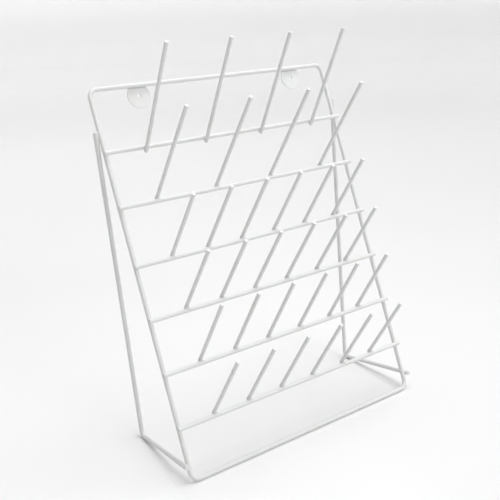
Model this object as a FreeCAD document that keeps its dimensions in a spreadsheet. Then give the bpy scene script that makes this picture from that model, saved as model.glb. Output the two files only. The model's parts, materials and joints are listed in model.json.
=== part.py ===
import FreeCAD, Part
import math
import os

# Wire peg rack: a leaning, free-standing panel of coated steel wire.
#   +X is to the right seen from the front, +Y is to the back, +Z is up.
#   The floor is z = 0.  The origin is the bottom centre of the bounding box.
# The panel is one closed loop of wire that leans back.  Six crossbars are
# welded on the front of its two legs, thirty-two straight pegs are welded to
# the crossbars, and a bent support wire on each side runs from the leg down
# to a rear foot and forward along the floor to the leg's lower end.

V = FreeCAD.Vector
doc = FreeCAD.newDocument("wire_peg_rack")

# ---------------------------------------------------------------- dimensions
sheet = doc.addObject("Spreadsheet::Sheet", "dims")
VALUES = [
    ("wire_dia", 6.3, "frame, crossbar and support wire over the coating"),
    ("peg_dia", 5.4, "peg wire over the coating"),
    ("weld_bite", 0.3, "how far two welded wires sink into each other"),
    ("cut_edge", 0.5, "rounding of the coating at a cut end"),
    ("lean", 23.9, "lean of the panel from upright, degrees"),
    ("leg_spacing", 400.0, "leg axis to leg axis"),
    ("loop_rise", 530.5, "bottom bar axis to top bar axis, along the panel"),
    ("top_bend", 11.0, "centreline radius of the two upper bends"),
    ("foot_bend", 12.5, "centreline radius of the two lower bends"),
    ("bar_length", 407.0, "crossbar length, flush with the legs' outer sides"),
    ("rise_row_a", 444.0, "crossbar heights along the panel, top row first"),
    ("rise_row_b", 369.5, ""),
    ("rise_row_c", 290.0, ""),
    ("rise_row_d", 217.0, ""),
    ("rise_row_e", 144.0, ""),
    ("rise_row_f", 71.0, ""),
    ("tilt_row_a", 25.7, "peg tilt forward from upright, degrees, top row first"),
    ("tilt_row_b", 33.3, ""),
    ("tilt_row_c", 32.8, ""),
    ("tilt_row_d", 32.4, ""),
    ("tilt_row_e", 30.4, ""),
    ("tilt_row_f", 31.1, ""),
    ("long_peg", 163.5, "cut length of the pegs of the two upper rows"),
    ("short_peg", 119.5, "cut length of the pegs of the four lower rows"),
    ("long_pitch", 96.2, "peg pitch, four to a row"),
    ("short_pitch", 57.7, "peg pitch, six to a row"),
    ("top_overrun", 3.5, "top row: peg end past its weld, below the bar"),
    ("overrun", 2.5, "other rows: peg end past its weld, behind the bar"),
    ("collar_dia", 5.8, "coating gathered round the root of a peg"),
    ("collar_rise", 4.5, "top of the gathered coating, past the weld"),
    ("collar_edge", 0.15, "rounding where the gathered coating ends"),
    ("side_top_rise", 474.0, "top end of the support wire, along the panel"),
    ("side_foot_back", 139.8, "rear foot corner behind the bottom bar axis"),
    ("side_foot_inset", 7.8, "rear foot corner inboard of the support's ends"),
    ("side_front_back", 0.8, "front end of the floor wire behind the bottom bar axis"),
    ("side_front_rise", 21.5, "front end of the floor wire above the bottom bar axis"),
    ("side_bend", 8.0, "centreline radius of the rear foot bend"),
    ("hanger_dia", 35.0, "hanger disc"),
    ("hanger_hole", 5.6, "hole in the hanger disc"),
    ("hanger_thick", 1.6, "hanger disc thickness over the coating"),
    ("hanger_rise", 516.5, "hanger hole height along the panel"),
    ("hanger_left", -127.0, "left hanger hole from the middle"),
    ("hanger_right", 138.0, "right hanger hole from the middle"),
    ("bottom_bar_y", -92.9, "bottom bar axis from the middle of the bounding box"),
]
for row, (alias, value, note) in enumerate(VALUES, start=1):
    sheet.set("A%d" % row, alias)
    sheet.set("B%d" % row, repr(value))
    sheet.setAlias("B%d" % row, alias)
    if note:
        sheet.set("C%d" % row, note)
doc.recompute()


def dim(alias):
    return float(sheet.get(alias))


SUB = []           # (node name, object) for every sub-part


def make_body(name):
    body = doc.addObject("PartDesign::Body", name)
    body.Label = name
    return body


def plane_of(body, role):
    for feature in body.Origin.OriginFeatures:
        if feature.Role == role:
            return feature
    raise RuntimeError(role)


def make_sketch(body, name, role):
    sketch = body.newObject("Sketcher::SketchObject", name)
    sketch.AttachmentSupport = [(plane_of(body, role), "")]
    sketch.MapMode = "FlatFace"
    return sketch


def name_and_bind(sketch, index, label, formula):
    sketch.renameConstraint(index, label)
    sketch.setExpression("Constraints." + label, formula)


def circle_on_origin(sketch, radius, formula):
    circle = sketch.addGeometry(Part.Circle(V(0, 0, 0), V(0, 0, 1), radius))
    sketch.addConstraint(Sketcher.Constraint("Coincident", circle, 3, -1, 1))
    size = sketch.addConstraint(Sketcher.Constraint("Radius", circle, radius))
    name_and_bind(sketch, size, "radius", formula)
    return circle


def circle_at(sketch, label, x, y, radius, x_formula, y_formula, r_formula):
    """A circle whose centre is measured from the sketch's origin."""
    circle = sketch.addGeometry(Part.Circle(V(x, y, 0), V(0, 0, 1), radius))
    size = sketch.addConstraint(Sketcher.Constraint("Radius", circle, radius))
    name_and_bind(sketch, size, label + "_radius", r_formula)
    for kind, value, formula, tag in (("DistanceX", x, x_formula, "_x"),
                                      ("DistanceY", y, y_formula, "_y")):
        if formula is None:
            on_axis = -2 if kind == "DistanceX" else -1
            sketch.addConstraint(
                Sketcher.Constraint("PointOnObject", circle, 3, on_axis))
        else:
            place = sketch.addConstraint(
                Sketcher.Constraint(kind, -1, 1, circle, 3, value))
            name_and_bind(sketch, place, label + tag, formula)
    return circle


def pad_both_ways(body, name, sketch, formula, value):
    pad = body.newObject("PartDesign::Pad", name)
    pad.Profile = sketch
    pad.SideType = "Symmetric"
    pad.Length = value
    pad.setExpression("Length", formula)
    return pad


def saddle(body, name, sketch):
    """Through cut on both sides of the sketch: the seat of a crossing wire."""
    cut = body.newObject("PartDesign::Pocket", name)
    cut.Profile = sketch
    cut.SideType = "Symmetric"
    cut.Type = "Length"
    cut.Length = 60.0
    return cut


def round_end_edges(body, name, base, centres, formula, value):
    """Round the circular edges whose centre is one of the given points."""
    doc.recompute()
    names = []
    for i, edge in enumerate(base.Shape.Edges, start=1):
        curve = edge.Curve
        if isinstance(curve, Part.Circle) and edge.isClosed():
            if any((curve.Center - c).Length < 1e-3 for c in centres):
                names.append("Edge%d" % i)
    if not names:
        raise RuntimeError("no end edge on " + body.Label)
    fillet = body.newObject("PartDesign::Fillet", name)
    fillet.Base = (base, names)
    fillet.Radius = value
    fillet.setExpression("Radius", formula)
    return fillet


def place(obj, x, y, z, angle):
    """Bind the placement: a turn about X and a position, as formulas."""
    obj.Placement = FreeCAD.Placement(V(0, 0, 0), FreeCAD.Rotation(V(1, 0, 0), 1.0))
    obj.setExpression("Placement.Rotation.Angle", angle)
    obj.setExpression("Placement.Base.x", x)
    obj.setExpression("Placement.Base.y", y)
    obj.setExpression("Placement.Base.z", z)


import Sketcher   # constraints of the sketches below

# Formulas of a point on the panel: rise along the panel, and front, the
# distance in front of the plane of the loop's axis.
LEAN = "(dims.lean * 1 deg)"


def panel_y(rise, front):
    return "dims.bottom_bar_y + (%s) * sin(%s) - (%s) * cos(%s)" % (rise, LEAN, front, LEAN)


def panel_z(rise, front):
    return "dims.wire_dia / 2 + (%s) * cos(%s) + (%s) * sin(%s)" % (rise, LEAN, front, LEAN)


# ---------------------------------------------------------------- frame loop
# One wire bent to a rounded rectangle, drawn in its own plane with the middle
# of the bottom bar at the origin, and butt-welded there.
half = dim("leg_spacing") / 2
rise = dim("loop_rise")
rt = dim("top_bend")
rb = dim("foot_bend")

loop = make_body("frame_loop")
path = make_sketch(loop, "frame_loop_path", "XZ_Plane")
L = Part.LineSegment


def arc(centre, radius, start, end):
    return Part.ArcOfCircle(Part.Circle(centre, V(0, 0, 1), radius), start, end)


g = [
    path.addGeometry(L(V(0, 0, 0), V(half - rb, 0, 0))),
    path.addGeometry(arc(V(half - rb, rb, 0), rb, -math.pi / 2, 0)),
    path.addGeometry(L(V(half, rb, 0), V(half, rise - rt, 0))),
    path.addGeometry(arc(V(half - rt, rise - rt, 0), rt, 0, math.pi / 2)),
    path.addGeometry(L(V(half - rt, rise, 0), V(-half + rt, rise, 0))),
    path.addGeometry(arc(V(-half + rt, rise - rt, 0), rt, math.pi / 2, math.pi)),
    path.addGeometry(L(V(-half, rise - rt, 0), V(-half, rb, 0))),
    path.addGeometry(arc(V(-half + rb, rb, 0), rb, math.pi, 3 * math.pi / 2)),
    path.addGeometry(L(V(-half + rb, 0, 0), V(0, 0, 0))),
]
C = Sketcher.Constraint
# Arcs run anticlockwise, so point 1 is their start and point 2 their end.
path.addConstraint([
    C("Tangent", g[0], 2, g[1], 1), C("Tangent", g[1], 2, g[2], 1),
    C("Tangent", g[2], 2, g[3], 1), C("Tangent", g[3], 2, g[4], 1),
    C("Tangent", g[4], 2, g[5], 1), C("Tangent", g[5], 2, g[6], 1),
    C("Tangent", g[6], 2, g[7], 1), C("Tangent", g[7], 2, g[8], 1),
    C("Coincident", g[8], 2, g[0], 1), C("Coincident", g[0], 1, -1, 1),
    C("Horizontal", g[0]), C("Horizontal", g[4]), C("Horizontal", g[8]),
    C("Vertical", g[2]), C("Vertical", g[6]),
    C("Equal", g[1], g[7]), C("Equal", g[3], g[5]), C("Equal", g[0], g[8]),
])
name_and_bind(path, path.addConstraint(C("Radius", g[1], rb)), "lower_bend", "dims.foot_bend")
name_and_bind(path, path.addConstraint(C("Radius", g[3], rt)), "upper_bend", "dims.top_bend")
name_and_bind(path, path.addConstraint(C("DistanceX", -1, 1, g[2], 1, half)),
              "half_width", "dims.leg_spacing / 2")
name_and_bind(path, path.addConstraint(C("DistanceY", -1, 1, g[4], 1, rise)),
              "rise", "dims.loop_rise")
ring = make_sketch(loop, "frame_loop_wire", "YZ_Plane")
circle_on_origin(ring, dim("wire_dia") / 2, "dims.wire_dia / 2")
doc.recompute()
pipe = loop.newObject("PartDesign::AdditivePipe", "frame_loop_pipe")
pipe.Profile = ring
pipe.Spine = (path, ["Edge%d" % (i + 1) for i in range(9)])
pipe.Mode = "Frenet"
loop.Tip = pipe
place(loop, "0", panel_y("0", "0"), panel_z("0", "0"), "-dims.lean")
SUB.append(("frame_loop", loop))

# ---------------------------------------------------------------- crossbars
ROWS = [
    # letter, name, pegs, long pegs?, side of the bar: -1 under its front,
    #                                                 +1 on top of its back
    ("a", "row_1", 4, True, -1),
    ("b", "row_2", 4, True, +1),
    ("c", "row_3", 6, False, +1),
    ("d", "row_4", 6, False, +1),
    ("e", "row_5", 6, False, +1),
    ("f", "row_6", 6, False, +1),
]
BAR_FRONT = "(dims.wire_dia - dims.weld_bite)"
bite_gap = dim("wire_dia") - dim("weld_bite")
for letter, row, count, is_long, side in ROWS:
    name = row + "_crossbar"
    bar = make_body(name)
    wire = make_sketch(bar, name + "_wire", "YZ_Plane")
    circle_on_origin(wire, dim("wire_dia") / 2, "dims.wire_dia / 2")
    pad = pad_both_ways(bar, name + "_length", wire, "dims.bar_length", dim("bar_length"))
    end = dim("bar_length") / 2
    last = round_end_edges(bar, name + "_ends", pad, [V(end, 0, 0), V(-end, 0, 0)],
                           "dims.cut_edge", dim("cut_edge"))
    seat = make_sketch(bar, name + "_leg_seats", "XY_Plane")
    circle_at(seat, "right", half, bite_gap, dim("wire_dia") / 2,
              "dims.leg_spacing / 2", "dims.wire_dia - dims.weld_bite", "dims.wire_dia / 2")
    left = circle_at(seat, "left", -half, bite_gap, dim("wire_dia") / 2,
                     "-dims.leg_spacing / 2", "dims.wire_dia - dims.weld_bite",
                     "dims.wire_dia / 2")
    cut = saddle(bar, name + "_leg_saddles", seat)
    bar.Tip = cut
    place(bar, "0", panel_y("dims.rise_row_" + letter, BAR_FRONT),
          panel_z("dims.rise_row_" + letter, BAR_FRONT), "-dims.lean")
    SUB.append((name, bar))

# ---------------------------------------------------------------- pegs
# Each peg is drawn along its own Z from the lower cut end.  Its coating is a
# little thicker from that end to just past the weld.  It crosses its
# crossbar a little above that end: the top row lies against the underside of
# the bar's front, the other rows lie over the bar and end behind it.
PEG_OFF = "((dims.wire_dia + dims.peg_dia) / 2 - dims.weld_bite)"
peg_off = (dim("wire_dia") + dim("peg_dia")) / 2 - dim("weld_bite")
for letter, row, count, is_long, side in ROWS:
    length = "long_peg" if is_long else "short_peg"
    pitch = "long_pitch" if is_long else "short_pitch"
    over = "top_overrun" if side < 0 else "overrun"
    tilt = "(dims.tilt_row_%s * 1 deg)" % letter
    rise_of = "dims.rise_row_" + letter
    sign = "-" if side < 0 else "+"
    for j in range(1, count + 1):
        name = "%s_peg_%d" % (row, j)
        peg = make_body(name)
        # The root, where the coating has gathered at the weld, then the shaft.
        thick = make_sketch(peg, name + "_root_outline", "XY_Plane")
        circle_on_origin(thick, dim("collar_dia") / 2, "dims.collar_dia / 2")
        root = peg.newObject("PartDesign::Pad", name + "_root")
        root.Profile = thick
        top_of_root = dim(over) + dim("collar_rise")
        root.Length = top_of_root
        root.setExpression("Length", "dims.%s + dims.collar_rise" % over)
        eased = round_end_edges(peg, name + "_root_end", root, [V(0, 0, top_of_root)],
                                "dims.collar_edge", dim("collar_edge"))
        wire = make_sketch(peg, name + "_wire", "XY_Plane")
        circle_on_origin(wire, dim("peg_dia") / 2, "dims.peg_dia / 2")
        pad = peg.newObject("PartDesign::Pad", name + "_length")
        pad.Profile = wire
        pad.Length = dim(length)
        pad.setExpression("Length", "dims." + length)
        round_end_edges(peg, name + "_ends", pad, [V(0, 0, 0), V(0, 0, dim(length))],
                        "dims.cut_edge", dim("cut_edge"))
        # In the YZ plane's sketch, x runs along the peg's Y and y along its Z.
        seat = make_sketch(peg, name + "_bar_seat", "YZ_Plane")
        circle_at(seat, "bar", -side * peg_off, dim(over), dim("wire_dia") / 2,
                  ("" if side < 0 else "-") + PEG_OFF, "dims." + over, "dims.wire_dia / 2")
        cut = saddle(peg, name + "_bar_saddle", seat)
        peg.Tip = cut
        x = "(%g) * dims.%s" % (j - (count + 1) / 2.0, pitch)
        y = "%s %s %s * cos(%s) + dims.%s * sin(%s)" % (
            panel_y(rise_of, BAR_FRONT), sign, PEG_OFF, tilt, over, tilt)
        z = "%s %s %s * sin(%s) - dims.%s * cos(%s)" % (
            panel_z(rise_of, BAR_FRONT), sign, PEG_OFF, tilt, over, tilt)
        place(peg, x, y, z, "dims.tilt_row_" + letter)
        SUB.append((name, peg))

# ---------------------------------------------------------------- side supports
# Each support is one wire bent in one plane: a strut down to the rear foot
# and a floor wire forward from it.  Both ends lie against the outside of the
# leg, and the foot is a little inboard of them, so the plane leans slightly.
lean = math.radians(dim("lean"))
wire_r = dim("wire_dia") / 2
out = dim("leg_spacing") / 2 + dim("wire_dia") - dim("weld_bite")
y0 = dim("bottom_bar_y")
top = V(out, y0 + dim("side_top_rise") * math.sin(lean),
        wire_r + dim("side_top_rise") * math.cos(lean))
front = V(out, y0 + dim("side_front_back"), wire_r + dim("side_front_rise"))
foot_y = y0 + dim("side_foot_back")
bend = dim("side_bend")
# The lowest point of the foot bend rests on the floor.  The bend is round, so
# its corner point sits a little below the axis height of a wire on the floor.
corner_z = wire_r
for _ in range(40):
    corner = V(out - dim("side_foot_inset"), foot_y, corner_z)
    up = (top - corner).normalize()
    fwd = (front - corner).normalize()
    angle = up.getAngle(fwd)
    middle = (up + fwd).normalize()
    centre = corner + middle * (bend / math.sin(angle / 2))
    # Height of the lowest point of the arc's circle in its sloping plane.
    normal = up.cross(fwd).normalize()
    steep = math.sqrt(max(0.0, 1.0 - normal.z ** 2))
    lowest = centre.z - bend * steep
    corner_z += wire_r - lowest
strut_len = (top - corner).Length
floor_len = (front - corner).Length
cut_back = bend / math.tan(angle / 2)

for name, mirror in (("right_side_support", 1), ("left_side_support", -1)):
    body = make_body(name + "_wire")
    # Local frame: origin at the strut's top end, local X down the strut, and
    # local Y towards the floor wire's side.
    down = V(-up.x * mirror, -up.y, -up.z)
    across = V(fwd.x * mirror, fwd.y, fwd.z)
    across = (across - down * across.dot(down)).normalize()
    third = down.cross(across)
    path = make_sketch(body, name + "_path", "XY_Plane")
    turn = math.pi - angle
    c2 = V(strut_len - cut_back, bend, 0)
    end = V(strut_len + floor_len * math.cos(turn), floor_len * math.sin(turn), 0)
    tan2 = V(strut_len + cut_back * math.cos(turn), cut_back * math.sin(turn), 0)
    a1 = path.addGeometry(L(V(0, 0, 0), V(strut_len - cut_back, 0, 0)))
    a2 = path.addGeometry(arc(c2, bend, -math.pi / 2, -math.pi / 2 + turn))
    a3 = path.addGeometry(L(tan2, end))
    path.addConstraint([
        C("Coincident", a1, 1, -1, 1), C("Horizontal", a1),
        C("Tangent", a1, 2, a2, 1), C("Tangent", a2, 2, a3, 1),
    ])
    name_and_bind(path, path.addConstraint(C("Radius", a2, bend)), "bend", "dims.side_bend")
    path.addConstraint(C("Distance", a1, 1, a1, 2, strut_len - cut_back))
    path.addConstraint(C("Angle", a1, 1, a3, 1, turn))
    path.addConstraint(C("Distance", a3, 1, a3, 2, floor_len - cut_back))
    ring = make_sketch(body, name + "_section", "YZ_Plane")
    circle_on_origin(ring, wire_r, "dims.wire_dia / 2")
    doc.recompute()
    pipe = body.newObject("PartDesign::AdditivePipe", name + "_pipe")
    pipe.Profile = ring
    pipe.Spine = (path, ["Edge1", "Edge2", "Edge3"])
    pipe.Mode = "Frenet"
    round_end_edges(body, name + "_ends", pipe, [V(0, 0, 0), end],
                    "dims.cut_edge", dim("cut_edge"))
    body.Tip = doc.getObject(name + "_ends")
    matrix = FreeCAD.Matrix(down.x, across.x, third.x, mirror * top.x,
                            down.y, across.y, third.y, top.y,
                            down.z, across.z, third.z, top.z,
                            0, 0, 0, 1)
    body.Placement = FreeCAD.Placement(matrix)
    # The leg that the two ends are welded to leaves its seats in them.
    leg = doc.addObject("Part::Cylinder", name + "_leg_seat")
    leg.setExpression("Radius", "dims.wire_dia / 2")
    leg.setExpression("Height", "dims.loop_rise - dims.top_bend - dims.foot_bend + 10")
    place(leg, "%d * dims.leg_spacing / 2" % mirror,
          panel_y("dims.foot_bend - 5", "0"), panel_z("dims.foot_bend - 5", "0"), "-dims.lean")
    seated = doc.addObject("Part::Cut", name)
    seated.Base = body
    seated.Tool = leg
    seated.Label = name
    SUB.append((name, seated))

# ---------------------------------------------------------------- hangers
# Two flat discs with a hole, welded behind the top bar, level with its top.
for name, where in (("left_hanger_disc", "hanger_left"), ("right_hanger_disc", "hanger_right")):
    disc = make_body(name)
    flat = make_sketch(disc, name + "_outline", "XZ_Plane")
    circle_on_origin(flat, dim("hanger_dia") / 2, "dims.hanger_dia / 2")
    inner = flat.addGeometry(Part.Circle(V(0, 0, 0), V(0, 0, 1), dim("hanger_hole") / 2))
    flat.addConstraint(C("Coincident", inner, 3, -1, 1))
    name_and_bind(flat, flat.addConstraint(C("Radius", inner, dim("hanger_hole") / 2)),
                  "hole", "dims.hanger_hole / 2")
    plate = pad_both_ways(disc, name + "_plate", flat, "dims.hanger_thick", dim("hanger_thick"))
    t2 = dim("hanger_thick") / 2
    round_end_edges(disc, name + "_rim", plate, [V(0, t2, 0), V(0, -t2, 0)],
                    "dims.cut_edge / 2", dim("cut_edge") / 2)
    seat = make_sketch(disc, name + "_bar_seat", "YZ_Plane")
    gap = (dim("wire_dia") + dim("hanger_thick")) / 2 - dim("weld_bite")
    circle_at(seat, "bar", -gap, dim("loop_rise") - dim("hanger_rise"), wire_r,
              "-((dims.wire_dia + dims.hanger_thick) / 2 - dims.weld_bite)",
              "dims.loop_rise - dims.hanger_rise", "dims.wire_dia / 2")
    cut = saddle(disc, name + "_bar_saddle", seat)
    disc.Tip = cut
    back = "-((dims.wire_dia + dims.hanger_thick) / 2 - dims.weld_bite)"
    place(disc, "dims." + where, panel_y("dims.hanger_rise", back),
          panel_z("dims.hanger_rise", back), "-dims.lean")
    SUB.append((name, disc))

doc.recompute()

# ---------------------------------------------------------------- check, write
problems = []
for obj in doc.Objects:
    if "Invalid" in obj.State or "Error" in obj.State:
        problems.append("%s: %s" % (obj.Name, obj.State))
for name, obj in SUB:
    shape = obj.Shape
    if shape.isNull() or not shape.isValid() or len(shape.Solids) != 1:
        problems.append("%s: shape null, not valid or not one solid" % name)
if len(set(n for n, _ in SUB)) != len(SUB) or len(SUB) > 60:
    problems.append("node names")
if problems:
    raise RuntimeError("; ".join(problems))

os.makedirs("parts", exist_ok=True)
box = FreeCAD.BoundBox()
for name, obj in SUB:
    obj.Shape.exportStep(os.path.join("parts", name + ".step"))
    box.add(obj.Shape.BoundBox)
print("%d sub-parts" % len(SUB))
print("box x %.2f %.2f  y %.2f %.2f  z %.2f %.2f" % (
    box.XMin, box.XMax, box.YMin, box.YMax, box.ZMin, box.ZMax))
print("middle of box in y %.3f" % ((box.YMin + box.YMax) / 2))
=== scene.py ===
"""Looks of the wire peg rack: white coated wire with the coating's fillets at every weld, on a pale glossy floor."""
import json
import math
import random

import bmesh
import bpy
import numpy as np
from mathutils import Matrix, Vector

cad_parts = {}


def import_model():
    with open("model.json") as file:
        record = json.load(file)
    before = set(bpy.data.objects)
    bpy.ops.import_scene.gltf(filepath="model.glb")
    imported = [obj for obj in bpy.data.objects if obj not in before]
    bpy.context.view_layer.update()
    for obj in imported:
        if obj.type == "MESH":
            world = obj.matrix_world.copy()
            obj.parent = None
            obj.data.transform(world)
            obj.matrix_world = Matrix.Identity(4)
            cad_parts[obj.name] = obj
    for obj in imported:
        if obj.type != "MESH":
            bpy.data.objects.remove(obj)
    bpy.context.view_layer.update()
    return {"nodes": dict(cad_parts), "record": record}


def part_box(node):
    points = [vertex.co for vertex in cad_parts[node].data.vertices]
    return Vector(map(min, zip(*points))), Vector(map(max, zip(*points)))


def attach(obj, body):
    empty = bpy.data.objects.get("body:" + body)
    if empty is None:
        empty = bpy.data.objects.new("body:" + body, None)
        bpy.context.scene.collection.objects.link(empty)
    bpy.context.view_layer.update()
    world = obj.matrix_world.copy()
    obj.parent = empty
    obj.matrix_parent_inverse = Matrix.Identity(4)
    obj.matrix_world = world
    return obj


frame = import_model()
record = frame["record"]
nodes = frame["nodes"]
rng = random.Random(11)

# ------------------------------------------------------------------ the frame
MM = 0.001
WIRE_R = 3.15 * MM        # frame, crossbar and support wires, over the coating
PEG_R = 2.7 * MM          # pegs, over the coating
ROOT_R = 2.9 * MM         # pegs where the coating has gathered at the weld
loop_lo, loop_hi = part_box("frame_loop")
LEG_X = loop_hi.x - WIRE_R
BOTTOM = Vector((0, loop_lo.y + WIRE_R, loop_lo.z + WIRE_R))
TOP = Vector((0, loop_hi.y - WIRE_R, loop_hi.z - WIRE_R))
UP = (TOP - BOTTOM).normalized()                   # up along the leaning panel
FRONT = Vector((0, -UP.z, UP.y))                   # out of the panel, forward
X = Vector((1, 0, 0))

# ------------------------------------------------------------ coating fillets
# Distances in millimetres to the wires that meet, joined with a round fillet.
# What the fillet adds is kept as a closed skin that reaches a little way into
# the wires.


def cylinder_distance(p, centre, axis, radius, lo=None, hi=None, edge=0.5):
    """Signed distance to a cylinder, with round-edged flat ends if lo and hi are given along its axis."""
    d = p - np.array(centre)
    a = np.array(axis, float)
    a /= np.linalg.norm(a)
    t = d @ a
    radial = np.linalg.norm(d - t[..., None] * a, axis=-1) - radius
    if lo is None:
        return radial
    ends = np.maximum(lo - t, t - hi)
    u, v = radial + edge, ends + edge
    return np.minimum(np.maximum(u, v), 0) + np.hypot(np.maximum(u, 0), np.maximum(v, 0)) - edge


def round_union(a, b, k):
    return np.maximum(k, np.minimum(a, b)) - np.hypot(np.maximum(k - a, 0), np.maximum(k - b, 0))


def lumps(p, seed, size):
    """A smooth pseudo-random field, about -1 to 1, for uneven coating."""
    r = np.random.RandomState(seed)
    total = 0
    for _ in range(6):
        w = r.normal(size=3)
        w *= (0.7 + 0.6 * r.rand()) / (np.linalg.norm(w) * size)
        total = total + np.sin(p @ w * 2 * np.pi + r.rand() * 6.28)
    return total / 2.6


def surface_nets(f, origin, h):
    """A closed quad mesh of f = 0 on a regular grid."""
    s = f < 0
    shape = tuple(n - 1 for n in f.shape)
    total, count = np.zeros(shape + (3,)), np.zeros(shape)

    def corner(o):
        return tuple(slice(o[i], o[i] + shape[i]) for i in range(3))

    for axis in range(3):
        others = [i for i in range(3) if i != axis]
        for m in range(4):
            o = [0, 0, 0]
            o[others[0]], o[others[1]] = m & 1, m >> 1
            e = list(o)
            e[axis] = 1
            fa, fb = f[corner(o)], f[corner(e)]
            cross = (fa < 0) != (fb < 0)
            t = np.where(cross, fa / np.where(fa == fb, 1, fa - fb), 0)
            for i in range(3):
                total[..., i] += np.where(cross, o[i] + (t if i == axis else 0), 0)
            count += cross
    used = count > 0
    index = np.full(shape, -1)
    index[used] = np.arange(used.sum())
    verts = (np.argwhere(used) + total[used] / count[used][:, None]) * h + np.array(origin)
    faces = []
    for axis in range(3):
        b, c = [(1, 2), (2, 0), (0, 1)][axis]
        lo = [slice(1, n - 1) for n in f.shape]
        lo[axis] = slice(0, f.shape[axis] - 1)
        hi = list(lo)
        hi[axis] = slice(1, f.shape[axis])
        fa, fb = s[tuple(lo)], s[tuple(hi)]
        for flip in (False, True):
            at = np.argwhere(fb & ~fa if flip else fa & ~fb)
            at[:, [i for i in range(3) if i != axis]] += 1
            quad = []
            for db, dc in ((-1, -1), (0, -1), (0, 0), (-1, 0)):
                cell = at.copy()
                cell[:, b] += db
                cell[:, c] += dc
                quad.append(index[cell[:, 0], cell[:, 1], cell[:, 2]])
            quad = np.stack(quad, 1)
            faces.append(quad[:, ::-1] if flip else quad)
    return verts, np.vstack(faces)


def fillet_mesh(name, first, second, k, reach, seed, voxel=0.3, uneven=0.12):
    """The coating and weld that fill the notch between two distance functions, as a mesh in metres."""
    n = [int(math.ceil(2 * r / voxel)) + 1 for r in reach]
    origin = [-(c - 1) / 2 * voxel for c in n]
    axes = [origin[i] + voxel * np.arange(n[i]) for i in range(3)]
    p = np.stack(np.meshgrid(*axes, indexing="ij"), -1)
    a, b = first(p), second(p)
    hard = np.minimum(a, b)
    soft = round_union(a, b, k * (1 + uneven * lumps(p, seed, 9.0)))
    f = np.maximum(np.maximum(soft, -(hard + 0.35)), 0.03 - (hard - soft))
    f = np.maximum(f, np.max(np.abs(p) - (np.array(reach) - 1.5 * voxel), axis=-1))
    verts, faces = surface_nets(f, origin, voxel)
    me = bpy.data.meshes.new(name)
    bm = bmesh.new()
    vs = [bm.verts.new(v * MM) for v in verts]
    for q in faces:
        if len(set(q)) == 4:
            bm.faces.new([vs[i] for i in q])
    bmesh.ops.smooth_vert(bm, verts=bm.verts[:], factor=0.5, use_axis_x=True, use_axis_y=True, use_axis_z=True)
    loose = [v for v in bm.verts if not v.link_faces]
    bmesh.ops.delete(bm, geom=loose, context="VERTS")
    bmesh.ops.recalc_face_normals(bm, faces=bm.faces[:])
    for face in bm.faces:
        face.smooth = True
    bm.to_mesh(me)
    bm.free()
    return me


def basis(x, y, z, at):
    m = Matrix((x, y, z)).transposed().to_4x4()
    m.translation = at
    return m


def place_piece(name, mesh, matrix):
    o = bpy.data.objects.new(name, mesh)
    bpy.context.scene.collection.objects.link(o)
    o.matrix_world = matrix
    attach(o, "root")
    return o


weld_pieces = []

# Peg on crossbar.  Local X runs along the bar, local Z along the peg's axis
# towards its tip, and local Y from the bar to the peg.
GAP = 5.55
over_of = {1: 3.5}
peg_meshes = {}
for over in (3.5, 2.5):
    for variant in range(3):
        def bar(p):
            return cylinder_distance(p, (0, -GAP / 2, 0), (1, 0, 0), WIRE_R / MM)

        def peg(p, over=over):
            return cylinder_distance(p, (0, GAP / 2, 0), (0, 0, 1), ROOT_R / MM, -over, 40)

        peg_meshes[over, variant] = fillet_mesh(
            "peg_weld_%d_%d" % (over * 10, variant), bar, peg,
            1.75 + 0.2 * variant, (6.0, 7.0, 6.0), 40 + variant)

mounts = {m["name"]: m for m in record["mounts"]}
for row in range(1, 7):
    lo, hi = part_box("row_%d_crossbar" % row)
    bar_at = (lo + hi) / 2
    j = 1
    while "row_%d_peg_%d_shaft" % (row, j) in mounts:
        m = mounts["row_%d_peg_%d_shaft" % (row, j)]
        p, d = Vector(m["pos_m"]), Vector(m["axis"]).normalized()
        centre = Vector((p.x, bar_at.y, bar_at.z))
        crossing = p + d * (centre - p).dot(d)
        across = (crossing - centre).normalized()
        over = over_of.get(row, 2.5)
        side = across.cross(d).normalized()
        mesh = peg_meshes[over, rng.randrange(3)]
        o = place_piece("row_%d_peg_%d_weld" % (row, j), mesh,
                        basis(side, across, d, (centre + crossing) / 2))
        weld_pieces.append(o)
        j += 1

# Crossbar on leg.  Local X along the bar, local Z up the leg, local Y from
# the leg to the bar.  The bar's end is flush with the leg's outer side.
LEG_GAP = 6.0
leg_meshes = []
for variant in range(3):
    def leg(p):
        return cylinder_distance(p, (0, -LEG_GAP / 2, 0), (0, 0, 1), WIRE_R / MM)

    def bar_end(p):
        return cylinder_distance(p, (0, LEG_GAP / 2, 0), (1, 0, 0), WIRE_R / MM, -60, 3.5)

    leg_meshes.append(fillet_mesh("leg_weld_%d" % variant, leg, bar_end,
                                  1.7 + 0.2 * variant, (6.5, 7.0, 6.0), 60 + variant))
for row in range(1, 7):
    lo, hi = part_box("row_%d_crossbar" % row)
    bar_at = (lo + hi) / 2
    for side, sx in (("left", -1), ("right", 1)):
        on_bar = Vector((sx * LEG_X, bar_at.y, bar_at.z))
        on_leg = on_bar - FRONT * (LEG_GAP * MM)
        mesh = leg_meshes[rng.randrange(3)]
        z = (X * sx).cross(FRONT)
        weld_pieces.append(place_piece("row_%d_%s_leg_weld" % (row, side), mesh,
                                       basis(X * sx, FRONT, z, (on_bar + on_leg) / 2)))

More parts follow.
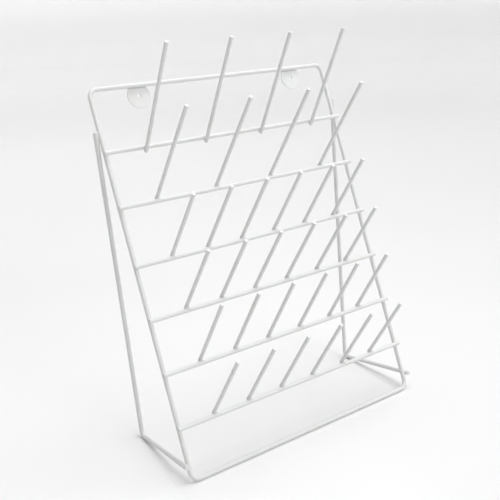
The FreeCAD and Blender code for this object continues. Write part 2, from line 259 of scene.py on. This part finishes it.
# Side supports on the legs, two welds a side.  Local Y goes out from the leg,
# local Z up the leg, local X = Y x Z.
strut_rise, rail_rise, rail_back = 474.0 * MM, 21.5 * MM, 0.8 * MM
foot_back, foot_inset, side_gap = 139.8 * MM, 7.8 * MM, 6.0
for side, sx in (("left", -1), ("right", 1)):
    out = X * sx
    lo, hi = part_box("%s_side_support" % side)
    foot = Vector((sx * (LEG_X + side_gap * MM - foot_inset), BOTTOM.y + foot_back, BOTTOM.z - 0.0012))
    ends = {
        "strut": BOTTOM + UP * strut_rise,
        "rail": Vector((0, BOTTOM.y + rail_back, BOTTOM.z + rail_rise)),
    }
    for end, point in ends.items():
        point = Vector((sx * (LEG_X + side_gap * MM), point.y, point.z))
        way = (foot - point).normalized()             # from the cut end along the wire
        xa = out.cross(UP).normalized()
        to_local = basis(xa, out, UP, Vector((0, 0, 0))).to_3x3().transposed()
        # where the support's wire crosses the leg's middle plane
        leg_at = Vector((sx * LEG_X, BOTTOM.y, BOTTOM.z))
        rise_at = (point - leg_at).dot(UP)
        away = (point - leg_at).dot(FRONT)
        centre = leg_at + UP * rise_at + out * (side_gap * MM / 2)
        cut_end = to_local @ (point - centre) / MM
        run = to_local @ way
        reach = (7.5, 7.0, 16.0)
        if end == "strut":
            centre = centre - UP * 0.009
            cut_end = to_local @ (point - centre) / MM

        def leg_wire(p):
            return cylinder_distance(p, (0, -side_gap / 2, 0), (0, 0, 1), WIRE_R / MM)

        def support_wire(p, c=tuple(cut_end), r=tuple(run)):
            return cylinder_distance(p, c, r, WIRE_R / MM, 0, 80)

        mesh = fillet_mesh("%s_%s_weld" % (side, end), leg_wire, support_wire, 1.8, reach,
                           80 + len(weld_pieces), voxel=0.33)
        weld_pieces.append(place_piece("%s_%s_weld" % (side, end), mesh,
                                       basis(xa, out, UP, centre)))

# Hanger discs on the back of the top bar.  Local Y from the bar to the disc.
BACK = -FRONT
disc_gap = (6.3 + 1.6) / 2 - 0.3
for side in ("left", "right"):
    m = mounts[side + "_hanger_hole"]
    hole = Vector(m["pos_m"])
    height = (TOP - hole).dot(UP) / MM                 # top bar above the hole
    centre = Vector((hole.x, TOP.y, TOP.z)) + BACK * (disc_gap * MM / 2)

    def top_bar(p):
        return cylinder_distance(p, (0, -disc_gap / 2, 0), (1, 0, 0), WIRE_R / MM)

    xa = BACK.cross(UP).normalized()
    local_height = -height
    mesh = fillet_mesh(side + "_hanger_weld", top_bar,
                       lambda p, h=local_height: cylinder_distance(p, (0, disc_gap / 2, h), (0, 1, 0), 17.5, -0.8, 0.8, 0.25),
                       1.2, (15.5, 5.5, 5.0), 95, voxel=0.33)
    weld_pieces.append(place_piece(side + "_hanger_weld", mesh, basis(xa, BACK, UP, centre)))

# ------------------------------------------------------------------ materials


class Nodes:
    def __init__(self, name):
        self.mat = bpy.data.materials.new(name)
        self.mat.use_nodes = True
        self.tree = self.mat.node_tree
        self.tree.nodes.clear()
        self.out = self.new("ShaderNodeOutputMaterial")
        self.bsdf = self.new("ShaderNodeBsdfPrincipled")
        self.link(self.bsdf, "BSDF", self.out, "Surface")
        self.coords = self.new("ShaderNodeTexCoord")

    def new(self, kind, **props):
        n = self.tree.nodes.new(kind)
        for k, v in props.items():
            if k in n.inputs:
                n.inputs[k].default_value = v
            else:
                setattr(n, k, v)
        return n

    def link(self, a, out, b, inp):
        self.tree.links.new(a.outputs[out], b.inputs[inp])

    def noise(self, scale, detail=3.0, rough=0.5, stretch=None):
        n = self.new("ShaderNodeTexNoise")
        n.inputs["Scale"].default_value = scale
        n.inputs["Detail"].default_value = detail
        n.inputs["Roughness"].default_value = rough
        if stretch:
            m = self.new("ShaderNodeMapping")
            m.inputs["Scale"].default_value = stretch
            self.link(self.coords, "Object", m, "Vector")
            self.link(m, "Vector", n, "Vector")
        else:
            self.link(self.coords, "Object", n, "Vector")
        return n

    def ramp(self, source, out, stops):
        r = self.new("ShaderNodeValToRGB")
        els = r.color_ramp.elements
        while len(els) < len(stops):
            els.new(0.5)
        for e, (pos, colour) in zip(els, stops):
            e.position = pos
            e.color = colour if len(colour) == 4 else (*colour, 1)
        self.link(source, out, r, "Fac")
        return r

    def to_range(self, source, out, lo, hi, new_lo, new_hi):
        m = self.new("ShaderNodeMapRange")
        m.inputs["From Min"].default_value = lo
        m.inputs["From Max"].default_value = hi
        m.inputs["To Min"].default_value = new_lo
        m.inputs["To Max"].default_value = new_hi
        self.link(source, out, m, "Value")
        return m

    def mix(self, factor, fout, a, aout, b_colour):
        m = self.new("ShaderNodeMix", data_type="RGBA")
        self.link(factor, fout, m, 0)
        self.tree.links.new(a.outputs[aout], m.inputs[6])
        m.inputs[7].default_value = (*b_colour, 1)
        return m


ALBEDO = 0.68
TINT = (0.995, 1.0, 1.0)


def coated(name, rough, seed, wear=0.5):
    """Soft-gloss white dip coating on wire: faint thickness mottling, orange peel, dust and rubbed spots."""
    n = Nodes(name)
    a = ALBEDO
    white = (a * TINT[0], a * TINT[1], a * TINT[2])
    warm = (a * 0.965, a * 0.955, a * 0.93)
    cool = (a * 0.975, a * 0.985, a * 0.995)
    # coating thickness drifts over centimetres and shows as a faint tint
    drift = n.noise(38.0 + seed, 2.0)
    base = n.ramp(drift, "Fac", [(0.30, cool), (0.50, white), (0.74, warm)])
    # grime held in the hollows of the orange peel, millimetre patches
    grime = n.noise(260.0 + seed * 3, 4.0, 0.65)
    patches = n.ramp(grime, "Fac", [(0.60, (0, 0, 0)), (0.86, (0.30 * wear,) * 3)])
    dirty = n.mix(patches, "Color", base, "Color", (a * 0.80, a * 0.785, a * 0.75))
    # specks: tiny inclusions and dust nibs in the coating
    specks = n.new("ShaderNodeTexVoronoi", feature="F1")
    specks.inputs["Scale"].default_value = 420.0
    n.link(n.coords, "Object", specks, "Vector")
    dots = n.ramp(specks, "Distance", [(0.035, (0.32 * wear,) * 3), (0.075, (0, 0, 0))])
    final = n.mix(dots, "Color", dirty, 2, (a * 0.55, a * 0.53, a * 0.50))
    n.tree.links.new(final.outputs[2], n.bsdf.inputs["Base Color"])
    # gloss: rubbed streaks and patches of a few millimetres
    rub = n.noise(120.0, 5.0, 0.6, (1.0, 0.8, 0.25))
    n.link(n.to_range(rub, "Fac", 0.3, 0.75, rough - 0.07, rough + 0.13), "Result", n.bsdf, "Roughness")
    n.bsdf.inputs["IOR"].default_value = 1.5
    n.bsdf.inputs["Coat Weight"].default_value = 0.15
    n.bsdf.inputs["Coat Roughness"].default_value = 0.12
    # relief: orange peel at about 1.3 mm, slow waves at 12 mm, fine grain and the specks' nibs
    peel = n.noise(780.0, 2.0, 0.45)
    waves = n.noise(85.0, 1.0)
    grain = n.noise(3600.0, 2.0)
    b1 = n.new("ShaderNodeBump", Strength=0.35, Distance=0.00035)
    n.link(waves, "Fac", b1, "Height")
    b2 = n.new("ShaderNodeBump", Strength=0.30, Distance=0.00012)
    n.link(peel, "Fac", b2, "Height")
    n.link(b1, "Normal", b2, "Normal")
    b3 = n.new("ShaderNodeBump", Strength=0.12, Distance=0.00003)
    n.link(grain, "Fac", b3, "Height")
    n.link(b2, "Normal", b3, "Normal")
    n.link(b3, "Normal", n.bsdf, "Normal")
    return n.mat


wire_mat = coated("coated_wire_white", 0.33, 0.0)
peg_mat = coated("coated_peg_white", 0.30, 5.0, 0.7)
disc_mat = coated("coated_disc_white", 0.36, 9.0, 0.8)

slot_of = {s["node"]: s["material_slot"] for s in record["subparts"]}
by_slot = {"coated_wire": wire_mat, "coated_peg": peg_mat, "coated_disc": disc_mat}
for name, o in nodes.items():
    mat = by_slot[slot_of[name]]
    if o.material_slots:
        for s in o.material_slots:
            s.material = mat
    else:
        o.data.materials.append(mat)
for o in weld_pieces:
    if not o.data.materials:
        o.data.materials.append(disc_mat if "hanger" in o.name else wire_mat)

# ---------------------------------------------------------------------- floor
YAW = math.radians(35.649)
AHEAD = Vector((math.sin(YAW), math.cos(YAW), 0))
RIGHT = Vector((math.cos(YAW), -math.sin(YAW), 0))


def stage_floor():
    """A wide pale glossy sheet: flat round the rack, with a very slow rise far away."""
    me = bpy.data.meshes.new("studio_floor")
    bm = bmesh.new()
    rings = [0.0, 0.25, 0.5, 0.8, 1.2, 1.8, 2.6, 3.6, 5.0, 6.5, 8.0, 9.0, 9.8, 10.4, 10.8]
    count = 96
    previous = None
    for r in rings:
        rise = 0.0 if r < 6.0 else 5.0 - math.sqrt(max(0.0, 5.0 ** 2 - (r - 6.0) ** 2))
        if r == 0:
            ring = [bm.verts.new((0, 0, -0.00005))]
        else:
            ring = [bm.verts.new((r * math.cos(2 * math.pi * i / count), r * math.sin(2 * math.pi * i / count),
                                  rise - 0.00005)) for i in range(count)]
        if previous:
            for i in range(count):
                k = (i + 1) % count
                if len(previous) == 1:
                    bm.faces.new((previous[0], ring[i], ring[k]))
                else:
                    bm.faces.new((previous[i], ring[i], ring[k], previous[k]))
        previous = ring
    for f in bm.faces:
        f.smooth = True
    bmesh.ops.recalc_face_normals(bm, faces=bm.faces[:])
    bm.to_mesh(me)
    bm.free()
    if me.polygons[0].normal.z < 0:
        me.flip_normals()
    o = bpy.data.objects.new("studio_floor", me)
    bpy.context.scene.collection.objects.link(o)
    n = Nodes("floor_white_gloss")
    haze = n.noise(1.7, 3.0)
    tone = n.ramp(haze, "Fac", [(0.35, FLOOR_A), (0.65, FLOOR_B)])
    n.link(tone, "Color", n.bsdf, "Base Color")
    smear = n.noise(9.0, 4.0)
    n.link(n.to_range(smear, "Fac", 0.3, 0.7, FLOOR_ROUGH - 0.005, FLOOR_ROUGH + 0.01), "Result", n.bsdf, "Roughness")
    n.bsdf.inputs["IOR"].default_value = 1.45
    me.materials.append(n.mat)
    return o


FLOOR_A = (0.800, 0.800, 0.802)
FLOOR_B = (0.803, 0.803, 0.804)
FLOOR_ROUGH = 0.16
stage_floor()



# ---------------------------------------------------------------------- light
LIGHT = dict(w_all=0.24, w_left=0.319, top=2.24, pool=4.94,
             right_30=0.471, back_60=0.468, front_30=1.052, overhead=0.931, behind_45=0.136)


def world():
    """A soft room: even light, and a broad lobe from the left."""
    w = bpy.data.worlds.new("studio")
    bpy.context.scene.world = w
    w.use_nodes = True
    t = w.node_tree
    t.nodes.clear()
    out = t.nodes.new("ShaderNodeOutputWorld")
    coords = t.nodes.new("ShaderNodeTexCoord")
    total = None
    lobes = [("w_all", None), ("w_left", -RIGHT)]
    for key, d in lobes:
        if LIGHT[key] <= 0:
            continue
        if d is None:
            c = t.nodes.new("ShaderNodeMath")
            c.operation = "MULTIPLY"
            c.inputs[0].default_value = LIGHT[key]
            c.inputs[1].default_value = 1.0
            last = c.outputs[0]
        else:
            dot = t.nodes.new("ShaderNodeVectorMath")
            dot.operation = "DOT_PRODUCT"
            t.links.new(coords.outputs["Generated"], dot.inputs[0])
            dot.inputs[1].default_value = d
            clip = t.nodes.new("ShaderNodeMath")
            clip.operation = "MAXIMUM"
            t.links.new(dot.outputs["Value"], clip.inputs[0])
            clip.inputs[1].default_value = 0.0
            c = t.nodes.new("ShaderNodeMath")
            c.operation = "MULTIPLY"
            t.links.new(clip.outputs[0], c.inputs[0])
            c.inputs[1].default_value = LIGHT[key]
            last = c.outputs[0]
        if total is None:
            total = last
        else:
            a = t.nodes.new("ShaderNodeMath")
            a.operation = "ADD"
            t.links.new(total, a.inputs[0])
            t.links.new(last, a.inputs[1])
            total = a.outputs[0]
    bg = t.nodes.new("ShaderNodeBackground")
    bg.inputs["Color"].default_value = (1, 1, 1, 1)
    if total is None:
        bg.inputs["Strength"].default_value = 0.0
    else:
        t.links.new(total, bg.inputs["Strength"])
    t.links.new(bg.outputs[0], out.inputs["Surface"])


def softbox(name, key, at, size, aim=Vector((0, 0, 0.25))):
    if LIGHT[key] <= 0:
        return
    d = bpy.data.lights.new(name, "AREA")
    d.shape = "RECTANGLE"
    d.size, d.size_y = size
    d.energy = LIGHT[key]
    o = bpy.data.objects.new(name, d)
    bpy.context.scene.collection.objects.link(o)
    o.location = at
    o.rotation_mode = "QUATERNION"
    o.rotation_quaternion = (aim - at).to_track_quat("-Z", "Y")
    o.visible_camera = False


def distant(key, around, up):
    """A very large, far softbox: around is degrees from the right toward the viewer, up is its height."""
    if LIGHT[key] <= 0:
        return
    d = bpy.data.lights.new("distant_" + key, "SUN")
    d.energy = LIGHT[key]
    d.angle = math.radians(28)
    o = bpy.data.objects.new("distant_" + key, d)
    bpy.context.scene.collection.objects.link(o)
    az, el = math.radians(around), math.radians(up)
    toward = (RIGHT * math.cos(az) - AHEAD * math.sin(az)) * math.cos(el) + Vector((0, 0, math.sin(el)))
    o.rotation_mode = "QUATERNION"
    o.rotation_quaternion = (-toward).to_track_quat("-Z", "Y")
    o.visible_camera = False


world()
softbox("top_softbox", "top", RIGHT * 0.9 + AHEAD * 0.3 + Vector((0, 0, 1.3)), (0.8, 0.8))
softbox("pool_softbox", "pool", AHEAD * 0.35 - RIGHT * 0.1 + Vector((0, 0, 1.4)), (0.9, 0.9))
distant("right_30", 0, 30)
distant("back_60", -45, 60)
distant("front_30", 45, 30)
distant("overhead", 0, 86)
distant("behind_45", -90, 45)

# --------------------------------------------------------------------- camera
PITCH, ROLL = math.radians(19.656), math.radians(-1.333)
forward = Vector((math.sin(YAW) * math.cos(PITCH), math.cos(YAW) * math.cos(PITCH), -math.sin(PITCH)))
level = Vector((math.cos(YAW), -math.sin(YAW), 0))
above = level.cross(forward)
cam_x = level * math.cos(ROLL) + above * math.sin(ROLL)
cam_y = -level * math.sin(ROLL) + above * math.cos(ROLL)
camera = bpy.data.cameras.new("camera")
camera.sensor_fit = "HORIZONTAL"
camera.sensor_width = 36.0
camera.lens = 56.096
camera.clip_start, camera.clip_end = 0.05, 60.0
camera.dof.use_dof = False
cam = bpy.data.objects.new("camera", camera)
bpy.context.scene.collection.objects.link(cam)
cam.matrix_world = basis(cam_x, cam_y, -forward, Vector((-0.634479, -0.839659, 0.630474)))
bpy.context.scene.camera = cam

view = bpy.context.scene.view_settings
view.view_transform = "Standard"
view.look = "None"
view.exposure = 0.0
view.gamma = 1.0
